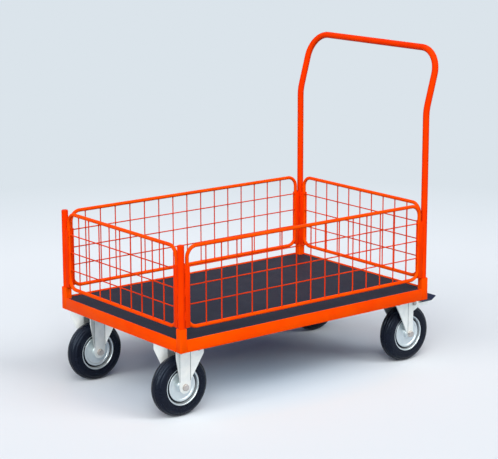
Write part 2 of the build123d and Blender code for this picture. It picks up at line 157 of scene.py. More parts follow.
class Workpiece:
    """A mesh under construction, made of closed shells.

    The shares are parts of a shape's own size: of a hexagon's half width and height, of a thread's
    pitch, of a washer's thickness and of a weld bead's width.
    """

    weld_distance = 0.002 * MM
    speck_distance = weld_distance / 4
    flat_angle = math.radians(0.6)
    sharp_angle = math.radians(34)
    fold_angle = math.radians(60)
    crown_share = 0.96
    chamfer_slope = math.tan(math.radians(30))
    seat_share = 0.03
    dish_rim_share = 0.86
    dish_floor_share = 0.8
    dish_height_share = 0.97
    thread_depth_share = 0.6
    washer_edge_share = 0.3
    bead_valley_share = 0.86
    bead_tip_share = 0.05
    bead_end_power = 8
    bead_scale_steps = 4
    bead_least_steps = 8

    def __init__(self) -> None:
        """Starts with nothing."""
        self.mesh = bmesh.new()

    def skin(self, rings: Sequence[Sequence[Vector]], loop: bool = False) -> None:
        """Joins rings of points with quads, and caps the ends of an open run.

        Args:
            rings: Closed rings of equally many points, in order.
            loop: True where the last ring joins the first.
        """
        grid = [[self.mesh.verts.new(point) for point in ring] for ring in rings]
        for index in range(len(grid) if loop else len(grid) - 1):
            here, there = grid[index], grid[(index + 1) % len(grid)]
            for k in range(len(here)):
                following = (k + 1) % len(here)
                self.mesh.faces.new((here[k], here[following], there[following], there[k]))
        if not loop:
            self.mesh.faces.new(list(reversed(grid[0])))
            self.mesh.faces.new(grid[-1])

    def bar(
        self,
        route: Sequence[Vector],
        radius: float | Sequence[float],
        sides: int = 24,
        closed: bool = False,
    ) -> None:
        """Adds a round bar along a route.

        Args:
            route: The points of its middle line.
            radius: One radius, or one for each point.
            sides: Points around the section.
            closed: True where the bar is a closed loop.
        """
        count = len(route)
        radii = [radius] * count if isinstance(radius, (int, float)) else list(radius)
        turns = [math.tau * k / sides for k in range(sides)]
        across = None
        rings = []
        for index, (point, size) in enumerate(zip(route, radii)):
            along = Vector()
            if closed or index:
                along += (point - route[index - 1]).normalized()
            if closed or index < count - 1:
                along += (route[(index + 1) % count] - point).normalized()
            along.normalize()
            across = along.orthogonal() if across is None else across - along * across.dot(along)
            across.normalize()
            third = along.cross(across)
            spokes = [across * math.cos(a) + third * math.sin(a) for a in turns]
            rings.append([point + spoke * size for spoke in spokes])
        self.skin(rings, loop=closed)

    def turned(self, outline: Outline, place: Matrix, sides: int = 48) -> None:
        """Adds a turned shape.

        Args:
            outline: Closed outline of radius and height points.
            place: Where the shape's own Z axis and origin lie.
            sides: Points around the axis.
        """
        rings = []
        for k in range(sides):
            turn = math.tau * k / sides
            spoke = Vector((math.cos(turn), math.sin(turn), 0))
            rings.append([place @ (spoke * radius + UP * height) for radius, height in outline])
        self.skin(rings, loop=True)

    def hexagon(self, flats: float, height: float, place: Matrix, steps: int = 6) -> None:
        """Adds a hexagon head or nut with a turned chamfer and a dished outer face.

        Args:
            flats: Width across the flats.
            height: Height along the shape's own Z axis.
            place: Where its seat lies, with Z pointing away from the seat.
            steps: Points along each flat.
        """
        count = 6 * steps
        half_flat = math.pi / 6
        turns = [math.tau * k / count for k in range(count)]
        inner = flats / 2
        reach = [inner / math.cos((a + half_flat) % (2 * half_flat) - half_flat) for a in turns]
        crown = self.crown_share * inner
        chamfer = [height - (radius - crown) * self.chamfer_slope for radius in reach]
        levels = [
            ([crown] * count, [0.0] * count),
            (reach, [self.seat_share * height] * count),
            (reach, chamfer),
            ([crown] * count, [height] * count),
            ([self.dish_rim_share * crown] * count, [height] * count),
            ([self.dish_floor_share * crown] * count, [self.dish_height_share * height] * count),
        ]
        spokes = [Vector((math.cos(a), math.sin(a), 0)) for a in turns]
        self.skin(
            [[place @ (s * r + UP * h) for s, r, h in zip(spokes, *level)] for level in levels]
        )

    def threaded_end(self, diameter: float, length: float, pitch: float, place: Matrix) -> None:
        """Adds the end of a thread as close rings, with a plain tip.

        Args:
            diameter: Outer diameter of the thread.
            length: How far it stands out along its own Z axis.
            pitch: Distance between neighbouring ridges.
            place: Where it leaves the nut.
        """
        crest = diameter / 2
        root = crest - self.thread_depth_share * pitch
        outline = [(0.0, 0.0), (root, 0.0)]
        for ridge in range(int((length - pitch) / pitch)):
            outline += [(crest, (ridge + 0.5) * pitch), (root, (ridge + 1) * pitch)]
        outline += [(root, length), (0.0, length)]
        self.turned(outline, place, sides=24)

    def washer(self, hole: float, outer: float, thickness: float, place: Matrix) -> None:
        """Adds a flat washer with a rounded rim.

        Args:
            hole: Radius of its hole.
            outer: Radius of its rim.
            thickness: Its thickness along the shape's own Z axis.
            place: Where it lies.
        """
        edge = self.washer_edge_share * thickness
        corners = [(hole, 0, 0), (outer, 0, edge), (outer, thickness, edge), (hole, thickness, 0)]
        self.turned(rounded_outline(corners), place, sides=36)

    def weld_bead(self, start: Vector, end: Vector, width: float, ripple: float) -> None:
        """Adds a straight weld bead with rippled scales and rounded ends.

        Args:
            start: One end of the bead's middle line.
            end: The other end.
            width: Width of the bead.
            ripple: Distance between neighbouring scales.
        """
        length = (end - start).length
        steps = max(self.bead_least_steps, int(self.bead_scale_steps * length / ripple))
        valley = self.bead_valley_share
        route, radii = [], []
        for step in range(steps + 1):
            share = step / steps
            scale = valley + (1 - valley) * abs(math.sin(math.pi * share * length / ripple))
            fade = math.sqrt(max(0.0, 1 - (2 * share - 1) ** self.bead_end_power))
            route.append(start.lerp(end, share))
            radii.append(max(self.bead_tip_share * width, width / 2 * scale * fade))
        self.bar(route, radii, sides=12)

    def nugget(self, place: Vector, size: Vector) -> None:
        """Adds a small welded lump with the given half sizes."""
        matrix = Matrix.Translation(place) @ Matrix.Diagonal((*size, 1))
        bmesh.ops.create_icosphere(self.mesh, subdivisions=2, radius=1, matrix=matrix)

    def take_node(self, node: str) -> None:
        """Adds a copy of a CAD node with its flat faces joined.

        Args:
            node: The CAD node's name.
        """
        self.mesh.from_mesh(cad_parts[node].data)
        bmesh.ops.remove_doubles(self.mesh, verts=self.mesh.verts, dist=self.weld_distance)
        bmesh.ops.dissolve_limit(
            self.mesh, angle_limit=self.flat_angle, verts=self.mesh.verts, edges=self.mesh.edges
        )

    def fold_lines(self, node: str, shortest: float, radius: float) -> None:
        """Adds a thin dark bar along each long inward fold of a pressed CAD node, as painted shade
        in the crease.

        Args:
            node: The CAD node's name.
            shortest: The shortest fold that gets a shade bar.
            radius: Radius of the shade bar.
        """
        pressing = Workpiece()
        pressing.take_node(node)
        for edge in pressing.mesh.edges:
            if edge.is_manifold and not edge.is_convex and edge.calc_length() > shortest:
                if self.flat_angle < edge.calc_face_angle() < self.fold_angle:
                    self.bar([vertex.co.copy() for vertex in edge.verts], radius, sides=10)
        pressing.mesh.free()

    def folded(
        self,
        route: Sequence[Vector],
        faces: tuple[float, float],
        box: tuple[Vector, Vector],
        edge: float,
    ) -> None:
        """Adds a folded plate with rounded edges, as wide along Y as a box.

        Args:
            route: Points of the fold's line in X and Z, from the box's lowest corner.
            faces: How far the lower and the upper face lie above that line.
            box: The lowest and highest corner of the box.
            edge: How far the rounding reaches from each edge.
        """
        lifts = []
        for index in range(len(route)):
            along = route[min(index + 1, len(route) - 1)] - route[max(index - 1, 0)]
            lifts.append(Vector((-along.z, 0, along.x)).normalized())
        lower, upper = ([p + lift * face for p, lift in zip(route, lifts)] for face in faces)
        section = [box[0] + point for point in lower + upper[::-1]]
        width = Vector((0, box[1].y - box[0].y, 0))
        self.skin([section, [point + width for point in section]])
        self.round_edges(edge)

    def round_edges(self, edge: float, steps: int = 2) -> None:
        """Rounds the sharp edges of everything added so far.

        Args:
            edge: How far the rounding reaches from each edge.
            steps: Faces across each rounding.
        """
        whole = [line for line in self.mesh.edges if line.is_manifold]
        bmesh.ops.bevel(
            self.mesh,
            geom=[line for line in whole if line.calc_face_angle() > self.sharp_angle],
            offset=edge,
            offset_type="OFFSET",
            segments=steps,
            profile=0.5,
            affect="EDGES",
            clamp_overlap=True,
        )

    def place(self, name: str, finish: "Finish", body: str, replaces: Sequence[str] = ()) -> None:
        """Turns the mesh into a piece that rides on a body.

        Args:
            name: The piece's name.
            finish: Its finish.
            body: The CAD body that it rides on.
            replaces: CAD nodes that it stands for.
        """
        bmesh.ops.remove_doubles(self.mesh, verts=self.mesh.verts, dist=self.weld_distance)
        bmesh.ops.dissolve_degenerate(self.mesh, dist=self.speck_distance, edges=self.mesh.edges)
        bmesh.ops.recalc_face_normals(self.mesh, faces=self.mesh.faces)
        data = bpy.data.meshes.new(name)
        self.mesh.to_mesh(data)
        self.mesh.free()
        data.polygons.foreach_set("use_smooth", [True] * len(data.polygons))
        data.set_sharp_from_angle(angle=self.sharp_angle)
        data.materials.append(finish.material())
        piece = bpy.data.objects.new(name, data)
        bpy.context.scene.collection.objects.link(piece)
        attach(piece, body)
        if replaces:
            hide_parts(*replaces)
        log.info("%s: %d faces on %s", name, len(data.polygons), body)


def dress_node(
    node: str, name: str, finish: "Finish", body: str, edge: float, steps: int = 2
) -> None:
    """Makes a piece from a CAD node with its sharp edges rounded, which it then stands for.

    Args:
        node: The CAD node's name.
        name: The piece's name.
        finish: Its finish.
        body: The CAD body that it rides on.
        edge: How far the rounding reaches from each edge.
        steps: Faces across each rounding.
    """
    piece = Workpiece()
    piece.take_node(node)
    piece.round_edges(edge, steps)
    piece.place(name, finish, body, [node])


# Shader sheets and shared effects


class Sheet:
    """Places and joins the nodes of one material, world or node group."""

    def __init__(self, tree: Tree) -> None:
        """Works on one node tree."""
        self.tree = tree

    @classmethod
    def fresh(cls, owner: bpy.types.Material | bpy.types.World) -> "Sheet":
        """Starts with the emptied nodes of a material or world.

        Args:
            owner: The material or world.

        Returns:
            Its sheet.
        """
        owner.use_nodes = True
        owner.node_tree.nodes.clear()
        return cls(owner.node_tree)

    def feed(self, socket: Socket, value: object) -> None:
        """Joins an output to an input socket, or sets the socket to a plain value.

        Args:
            socket: The input socket.
            value: The output socket or plain value.
        """
        if isinstance(value, Socket):
            self.tree.links.new(value, socket)
        else:
            socket.default_value = value

    def node(
        self, kind: str, inputs: dict[str | int, object] | None = None, **settings: object
    ) -> bpy.types.Node:
        """Adds a node.

        Args:
            kind: Blender's name of the node type.
            inputs: Values for input sockets, or output sockets that feed them.
            **settings: Properties of the node.

        Returns:
            The new node.
        """
        made = self.tree.nodes.new(kind)
        for key, value in settings.items():
            setattr(made, key, value)
        for key, value in (inputs or {}).items():
            self.feed(made.inputs[key], value)
        return made

    def math(self, operation: str, first: object, second: object) -> Socket:
        """Adds a sum, product or other operation on two values and returns its output."""
        return self.node("ShaderNodeMath", {0: first, 1: second}, operation=operation).outputs[0]

    def length(self, place: Socket) -> Socket:
        """Adds the length of a vector and returns its output."""
        return self.node("ShaderNodeVectorMath", {0: place}, operation="LENGTH").outputs["Value"]

    def noise(self, place: Socket, scale: Socket, detail: float, roughness: float = 0.5) -> Socket:
        """Adds a noise and returns its output."""
        inputs = {"Vector": place, "Scale": scale, "Detail": detail, "Roughness": roughness}
        return self.node("ShaderNodeTexNoise", inputs).outputs["Fac"]

    def span(self, value: Socket, low: float, high: float, falling: bool = False) -> Socket:
        """Maps a range of a value to a rise from 0 to 1.

        Args:
            value: The value.
            low: Where the range starts.
            high: Where it ends.
            falling: True for a fall from 1 to 0.

        Returns:
            The clamped output.
        """
        ends = {"To Min": 1.0, "To Max": 0.0} if falling else {}
        inputs = {"Value": value, "From Min": low, "From Max": high, **ends}
        return self.node("ShaderNodeMapRange", inputs).outputs["Result"]

    def blend(self, mask: Socket, first: object, second: object, strength: float = 1.0) -> Socket:
        """Mixes two colours by a mask.

        Args:
            mask: Share of the second colour.
            first: Colour where the mask is 0.
            second: Colour where the mask is 1.
            strength: Factor on the mask.

        Returns:
            The mixed colour.
        """
        share = mask if strength == 1.0 else self.math("MULTIPLY", mask, strength)
        mixed = self.node("ShaderNodeMix", {0: share}, data_type="RGBA")
        colours = [socket for socket in mixed.inputs if socket.type == "RGBA"]
        self.feed(colours[0], first)
        self.feed(colours[1], second)
        return next(socket for socket in mixed.outputs if socket.type == "RGBA")


class Effect(Sheet):
    """A shader effect that several finishes share: a node group that is made once."""

    inputs: ClassVar[tuple[str, ...]] = ("scale",)
    outputs: ClassVar[tuple[str, ...]] = ("mask",)

    def __init__(self, name: str) -> None:
        """Makes the group with its sockets and fills it.

        Args:
            name: The group's name.
        """
        super().__init__(bpy.data.node_groups.new(name, "ShaderNodeTree"))
        sockets = [("place", "INPUT", "NodeSocketVector")]
        sockets += [(word, "INPUT", "NodeSocketFloat") for word in self.inputs]
        sockets += [(word, "OUTPUT", "NodeSocketFloat") for word in self.outputs]
        for word, direction, kind in sockets:
            self.tree.interface.new_socket(name=word, in_out=direction, socket_type=kind)
        self.given = self.node("NodeGroupInput").outputs
        self.place = self.given["place"]
        self.node("NodeGroupOutput", self.fill())

    def fill(self) -> dict[str, Socket]:
        """Adds the nodes that each effect gives and returns what it puts out, by name."""
        raise NotImplementedError


class Blotches(Effect):
    """Slow cloudy variation over a surface, as a mask."""

    def fill(self) -> dict[str, Socket]:
        """Spreads a soft noise and returns its mask."""
        cloud = self.noise(self.place, self.given["scale"], detail=3.0, roughness=0.55)
        return {"mask": self.span(cloud, low=0.3, high=0.7)}


class Grain(Effect):
    """Fine pebbled grain, as a height and a mask of its hollows."""

    outputs = ("height", "hollows")
    cell_share = 0.5

    def fill(self) -> dict[str, Socket]:
        """Lays rounded cells over a speckle.

        Returns:
            The height and the hollows.
        """
        scale = self.given["scale"]
        speckle = self.noise(self.place, scale, detail=4.0, roughness=0.6)
        inputs = {"Vector": self.place, "Scale": scale}
        cells = self.node("ShaderNodeTexVoronoi", inputs, feature="SMOOTH_F1").outputs["Distance"]
        height = self.math("ADD", speckle, self.math("MULTIPLY", cells, self.cell_share))
        return {"height": height, "hollows": self.span(height, low=0.55, high=0.95, falling=True)}


class Edges(Effect):
    """Worn edges, and on the powder coat partly a painted edge highlight, as a mask broken up by
    noise.
    """

    inputs = ("reach", "breakup")

    def fill(self) -> dict[str, Socket]:
        """Finds where the surface turns away from its own rounding, in patches.

        Returns:
            The mask.
        """
        rounded = self.node("ShaderNodeBevel", {"Radius": self.given["reach"]}, samples=6)
        surface = self.node("ShaderNodeNewGeometry")
        normals = {0: rounded.outputs["Normal"], 1: surface.outputs["Normal"]}
        turn = self.node("ShaderNodeVectorMath", normals, operation="DOT_PRODUCT").outputs["Value"]
        sharp = self.span(turn, low=0.80, high=0.985, falling=True)
        patches = self.noise(self.place, self.given["breakup"], detail=4.0)
        return {"mask": self.math("MULTIPLY", sharp, self.span(patches, low=0.38, high=0.62))}


class Dust(Effect):
    """Dust on upward faces, as a mask that stays with the piece."""

    def fill(self) -> dict[str, Socket]:
        """Drifts a rough noise over the piece's own upward faces.

        Returns:
            The mask.
        """
        own = self.node("ShaderNodeTexCoord").outputs["Normal"]
        height = self.node("ShaderNodeSeparateXYZ", {"Vector": own}).outputs["Z"]
        upward = self.span(height, low=0.3, high=0.95)
        drift = self.noise(self.place, self.given["scale"], detail=6.0, roughness=0.65)
        return {"mask": self.math("MULTIPLY", upward, self.span(drift, low=0.35, high=0.75))}


class Scratches(Effect):
    """Thin scratches along one direction, as a mask."""

    slant = (0.3, 0.5, 0.7)
    stretch = (1.0, 1.0, 0.06)

    def fill(self) -> dict[str, Socket]:
        """Stretches a noise to thin streaks.

        Returns:
            The mask.
        """
        inputs = {"Vector": self.place, "Rotation": self.slant, "Scale": self.stretch}
        stretched = self.node("ShaderNodeMapping", inputs).outputs["Vector"]
        streaks = self.noise(stretched, self.given["scale"], detail=5.0, roughness=0.7)
        return {"mask": self.span(streaks, low=0.60, high=0.72)}


class PressedWires(Effect):
    """A fine pressed pattern of crossed wires, as a mask."""

    slant = math.radians(45)

    def fill(self) -> dict[str, Socket]:
        """Crosses two runs of narrow bands.

        Returns:
            The mask.
        """
        bands = []
        for sign in SIGNS:
            turn = {"Vector": self.place, "Rotation": (0.0, 0.0, sign * self.slant)}
            turned = self.node("ShaderNodeMapping", turn).outputs["Vector"]
            wave = {"Vector": turned, "Scale": self.given["scale"]}
            band = self.node("ShaderNodeTexWave", wave).outputs["Fac"]
            bands.append(self.span(band, low=0.75, high=1.0))
        return {"mask": self.math("MAXIMUM", *bands)}


# Finishes


def linear(red: int, green: int, blue: int) -> Colour:
    """Turns a screen colour into Blender's linear colour.

    Args:
        red: Red from 0 to 255.
        green: Green from 0 to 255.
        blue: Blue from 0 to 255.

    Returns:
        The linear colour.
    """

    def channel(value: int) -> float:
        """One channel of the colour."""
        share = value / 255
        return share / 12.92 if share <= 0.04045 else ((share + 0.055) / 1.055) ** 2.4

    return (channel(red), channel(green), channel(blue), 1.0)


@dataclass(frozen=True)
class Layer:
    """An effect on a finish: the colour that it lays on, its share, and the gloss that it takes."""

    effect: type[Effect]
    values: dict[str, float]
    colour: Colour | None = None
    share: float = 1.0
    dulls: float = 0.0
    output: str = "mask"

    def on(self, sheet: Sheet, place: Socket) -> Socket:
        """Places the effect, which is made at its first use.

        Args:
            sheet: The material's sheet.
            place: The piece's own coordinates.

        Returns:
            The effect's output.
        """
        name = self.effect.__name__.lower()
        tree = bpy.data.node_groups.get(name) or self.effect(name).tree
        group = sheet.node("ShaderNodeGroup", {"place": place, **self.values}, node_tree=tree)
        return group.outputs[self.output]


@dataclass(frozen=True)
class Finish:
    """A surface finish with a procedural material: a colour under layers, with a fine relief."""

    slot: ClassVar[str]
    relief: ClassVar[Layer]
    depth: ClassVar[float]
    metal: ClassVar[float] = 0.0
    specular: ClassVar[float] = 0.5
    sheen: ClassVar[Colour] = (1.0, 1.0, 1.0, 1.0)
    name: str
    colour: Colour
    shade: Colour
    gloss: float

    def layers(self) -> list[Layer]:
        """The layers over the colour, which each kind of finish gives."""
        raise NotImplementedError

    def material(self) -> bpy.types.Material:
        """Makes the finish's material at its first use.

        Returns:
            The material.
        """
        made = bpy.data.materials.get(self.name)
        if made is None:
            made = bpy.data.materials.new(self.name)
            self.dress(Sheet.fresh(made))
        return made

    def dress(self, sheet: Sheet) -> None:
        """Lays the layers on the colour and joins colour, gloss and relief to the shader.

        Args:
            sheet: The material's sheet.
        """
        place = sheet.node("ShaderNodeTexCoord").outputs["Object"]
        colour, rough = self.colour, self.gloss
        for layer in self.layers():
            mask = layer.on(sheet, place)
            if layer.colour:
                colour = sheet.blend(mask, colour, layer.colour, layer.share)
            if layer.dulls:
                rough = sheet.math("ADD", sheet.math("MULTIPLY", mask, layer.dulls), rough)
        bump = {"Height": self.relief.on(sheet, place), "Strength": 1.0, "Distance": self.depth}
        inputs = {
            "Base Color": colour,
            "Roughness": rough,
            "Metallic": self.metal,
            "Specular IOR Level": self.specular,
            "Specular Tint": self.sheen,
            "Normal": sheet.node("ShaderNodeBump", bump).outputs["Normal"],
        }
        shader = sheet.node("ShaderNodeBsdfPrincipled", inputs)
        sheet.node("ShaderNodeOutputMaterial", {"Surface": shader.outputs["BSDF"]})


@dataclass(frozen=True)
class PowderCoat(Finish):
    """Powder coat with a slight orange peel, thinner and lighter at the edges, where the paler
    colour is partly a painted highlight.
    """

    slot = "frame_paint"
    relief = Layer(Grain, {"scale": 520.0}, output="height")
    depth = 0.025 * MM
    specular = 0.02
    sheen = (1.0, 0.5, 0.08, 1.0)
    colour: Colour = linear(244, 79, 1)
    shade: Colour = linear(241, 65, 1)
    gloss: float = 0.32

    def layers(self) -> list[Layer]:
        """Slow colour drift, pale edges that are partly a painted highlight, and dust."""
        edge_wear_and_highlight = {"reach": 1.4 * MM, "breakup": 60.0}
        return [
            Layer(Blotches, {"scale": 9.0}, self.shade, dulls=0.08),
            # Paler at the edges: thinner coat, and partly a painted highlight.
            Layer(Edges, edge_wear_and_highlight, linear(255, 112, 22), share=0.45),
            Layer(Dust, {"scale": 30.0}, linear(205, 190, 175), share=0.03, dulls=0.10),
        ]


@dataclass(frozen=True)
class ZincPlate(Finish):
    """Bright zinc plating over pressed steel, with a fine grain."""

    slot = "zinc"
    relief = Layer(Grain, {"scale": 900.0}, output="height")
    depth = 0.012 * MM
    metal = 0.7
    colour: Colour = linear(245, 247, 240)
    shade: Colour = linear(229, 234, 230)
    gloss: float = 0.34

    def layers(self) -> list[Layer]:
        """Cloudy plating, drawing marks and rubbed edges."""
        edge_wear_and_highlight = {"reach": 1.0 * MM, "breakup": 90.0}
        return [
            Layer(Blotches, {"scale": 38.0}, self.shade, dulls=0.10),
            Layer(Scratches, {"scale": 420.0}, dulls=0.10),
            Layer(Edges, edge_wear_and_highlight, linear(240, 243, 242), share=0.4),
        ]


@dataclass(frozen=True)
class TyreRubber(Finish):
    """Black solid rubber with a moulded grain."""

    slot = "tyre"
    relief = Layer(Grain, {"scale": 700.0}, output="height")
    depth = 0.03 * MM
    specular = 0.2
    sheen = (0.6, 0.78, 1.0, 1.0)
    colour: Colour = linear(8, 9, 19)
    shade: Colour = linear(15, 18, 34)
    gloss: float = 0.21

    def layers(self) -> list[Layer]:
        """A dull bloom, and dust in the hollows of the grain."""
        return [
            Layer(Blotches, {"scale": 24.0}, self.shade, share=0.35, dulls=0.12),
            Layer(Grain, {"scale": 700.0}, linear(34, 40, 54), share=0.12, output="hollows"),
        ]


@dataclass(frozen=True)
class DeckFilm(Finish):
    """Dark film-faced board with a fine pressed wire pattern against slipping."""

    slot = "deck"
    wire_pitch = 4.2 * MM
    wave_length = math.pi / 10  # of the shader's bands at a scale of 1
    pattern: ClassVar[dict[str, float]] = {"scale": wave_length / wire_pitch}
    relief = Layer(PressedWires, pattern)
    depth = 0.12 * MM
    specular = 0.08
    colour: Colour = linear(30, 33, 47)
    shade: Colour = linear(44, 47, 60)
    gloss: float = 0.55

    def layers(self) -> list[Layer]:
        """The pattern's paler ridges, dust, faint scuffs and cloudy gloss."""
        return [
            Layer(PressedWires, self.pattern, self.shade, share=0.5),
            Layer(Dust, {"scale": 14.0}, linear(128, 126, 124), share=0.03, dulls=0.12),
            Layer(Scratches, {"scale": 60.0}, linear(96, 98, 106), share=0.06),
            Layer(Blotches, {"scale": 5.0}, dulls=0.08),
        ]


@dataclass(frozen=True)
class PedalCoat(Finish):
    """Dark coat with a coarse grain on the brake pedals."""

    slot = "pedal"
    relief = Layer(Grain, {"scale": 600.0}, output="height")
    depth = 0.05 * MM
    specular = 0.25
    colour: Colour = linear(16, 29, 62)
    shade: Colour = linear(120, 128, 142)
    gloss: float = 0.38

    def layers(self) -> list[Layer]:
        """Edges scuffed pale, and cloudy gloss."""
        edge_wear_and_highlight = {"reach": 1.2 * MM, "breakup": 140.0}
        return [
            Layer(Edges, edge_wear_and_highlight, self.shade, share=0.5),
            Layer(Blotches, {"scale": 45.0}, dulls=0.12),
        ]


FRAME_PAINT = PowderCoat("frame_powder_coat")
# A redder, darker copy of the frame coat on the round tubes: painted shade on their curved sides.
TUBE_COAT_WITH_PAINTED_SHADE = PowderCoat("tube_powder_coat", linear(236, 58, 1), linear(230, 46, 1))
# A darker copy of the frame coat on the mesh wires: painted shade among the wires.
WIRE_COAT_WITH_PAINTED_SHADE = PowderCoat("wire_powder_coat_painted_shade", linear(222, 60, 3), linear(200, 46, 2))
DECK_FILM = DeckFilm("deck_film")
ZINC = ZincPlate("zinc_plate")
WHEEL_ZINC = ZincPlate("wheel_zinc_plate", linear(213, 222, 223), linear(197, 208, 212), 0.33)
# A dark copy of the zinc for the bars in the fork folds: painted shade in the creases.
CREASE_SHADE_ZINC = ZincPlate("crease_painted_shade_zinc", linear(126, 132, 134), linear(104, 110, 114), 0.45)
# Bolts in a darker grey than the zinc plate, which also paints the shade on the small bolts.
BOLT_STEEL_WITH_PAINTED_SHADE = ZincPlate("bolt_steel_painted_shade", linear(200, 195, 190), linear(150, 145, 142), 0.40)
RUBBER = TyreRubber("tyre_rubber")
PEDAL_COAT = PedalCoat("pedal_coat")


# Sub-assemblies


@dataclass
class DeckFrame:
    """Welded frame of angle iron and corner sockets, with the board and what carries it."""

    rail_edge: float = 0.6 * MM
    socket_edge: float = 0.5 * MM
    plate_edge: float = 0.6 * MM
    board_edge: float = 0.5 * MM

    def build(self) -> None:
        """Rounds the edges of the rails, sockets, plates, bearers and board and coats them."""
        steel = {f"{word}_rail": self.rail_edge for word in ("front", "rear", "left", "right")}
        steel["post_sockets"] = self.socket_edge
        steel["castor_backing_plates"] = steel["deck_bearers"] = self.plate_edge
        for node, edge in steel.items():
            dress_node(node, f"{node}_steel", FRAME_PAINT, CHASSIS, edge)
        board = "deck_board"
        dress_node(board, f"{board}_film_faced", DECK_FILM, CHASSIS, self.board_edge)


@dataclass
class FrontPost:
    """A front post of round tube with a closed, rounded top."""

    hand: Hand
    radius: float = 11 * MM
    top_edge: float = 4 * MM

    def build(self) -> None:
        """Turns the post."""
        node = f"front_{self.hand.word}_post"
        low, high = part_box(node)
        place = Matrix.Translation(((low.x + high.x) / 2, (low.y + high.y) / 2, low.z))
        height = high.z - low.z
        radius = self.radius
        corners = [(0, 0, 0), (radius, 0, 0), (radius, height, self.top_edge), (0, height, 0)]
        post = Workpiece()
        post.turned(rounded_outline(corners), place)
        post.place(f"{node}_tube", TUBE_COAT_WITH_PAINTED_SHADE, CHASSIS, [node])


@dataclass
class PushHandle:
    """The bent push handle, which also makes the two rear posts."""

    radius: float = 11 * MM
    bend_height: float = 885 * MM
    bend_radius: float = 150 * MM
    corner_radius: float = 85 * MM

    def build(self) -> None:
        """Bends the tube along the CAD handle's line."""
        low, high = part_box("handle_tube")
        post_x, bar_x = low.x + self.radius, high.x - self.radius
        side, top = high.y - self.radius, high.z - self.radius
        left = [(post_x, -side, low.z), (post_x, -side, self.bend_height), (bar_x, -side, top)]
        right = [(x, -y, z) for x, y, z in reversed(left)]
        corners = [Vector(point) for point in left + right]
        radii = [0, self.bend_radius, self.corner_radius]
        handle = Workpiece()
        handle.bar(bent_route(corners, radii + radii[::-1]), self.radius, sides=36)
        handle.place("push_handle_bent_tube", TUBE_COAT_WITH_PAINTED_SHADE, CHASSIS, ["handle_tube"])


@dataclass
class GuideChannels:
    """The two guide channels of one corner, stitched to their post by welds."""

    end: End
    hand: Hand
    edge: float = 0.4 * MM
    bead_width: float = 4.2 * MM
    bead_length: float = 26 * MM
    bead_ripple: float = 2.2 * MM
    bead_heights: Triple = (335 * MM, 410 * MM, 485 * MM)
    seam_side: float = 7.2 * MM
    seam_depth: float = 10.0 * MM

    def build(self) -> None:
        """Rounds the channels' edges and adds the stitch welds behind them."""
        node = f"{self.end.word}_{self.hand.word}_channels"
        dress_node(node, f"{node}_folded", TUBE_COAT_WITH_PAINTED_SHADE, CHASSIS, self.edge)
        low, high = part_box("front_left_post")
        axis = (low + high) / 2
        corner = Vector((self.end.value * abs(axis.x), self.hand.value * abs(axis.y), 0))
        welds = Workpiece()
        for inwards in (Vector((-self.end.value, 0, 0)), Vector((0, -self.hand.value, 0))):
            across = Vector((inwards.y, inwards.x, 0))
            for sign in SIGNS:
                seam = corner + inwards * self.seam_depth + across * sign * self.seam_side
                for height in self.bead_heights:
                    foot = seam + UP * height
                    top = foot + UP * self.bead_length
                    welds.weld_bead(foot, top, self.bead_width, self.bead_ripple)
        welds.place(f"{node}_welds", TUBE_COAT_WITH_PAINTED_SHADE, CHASSIS)


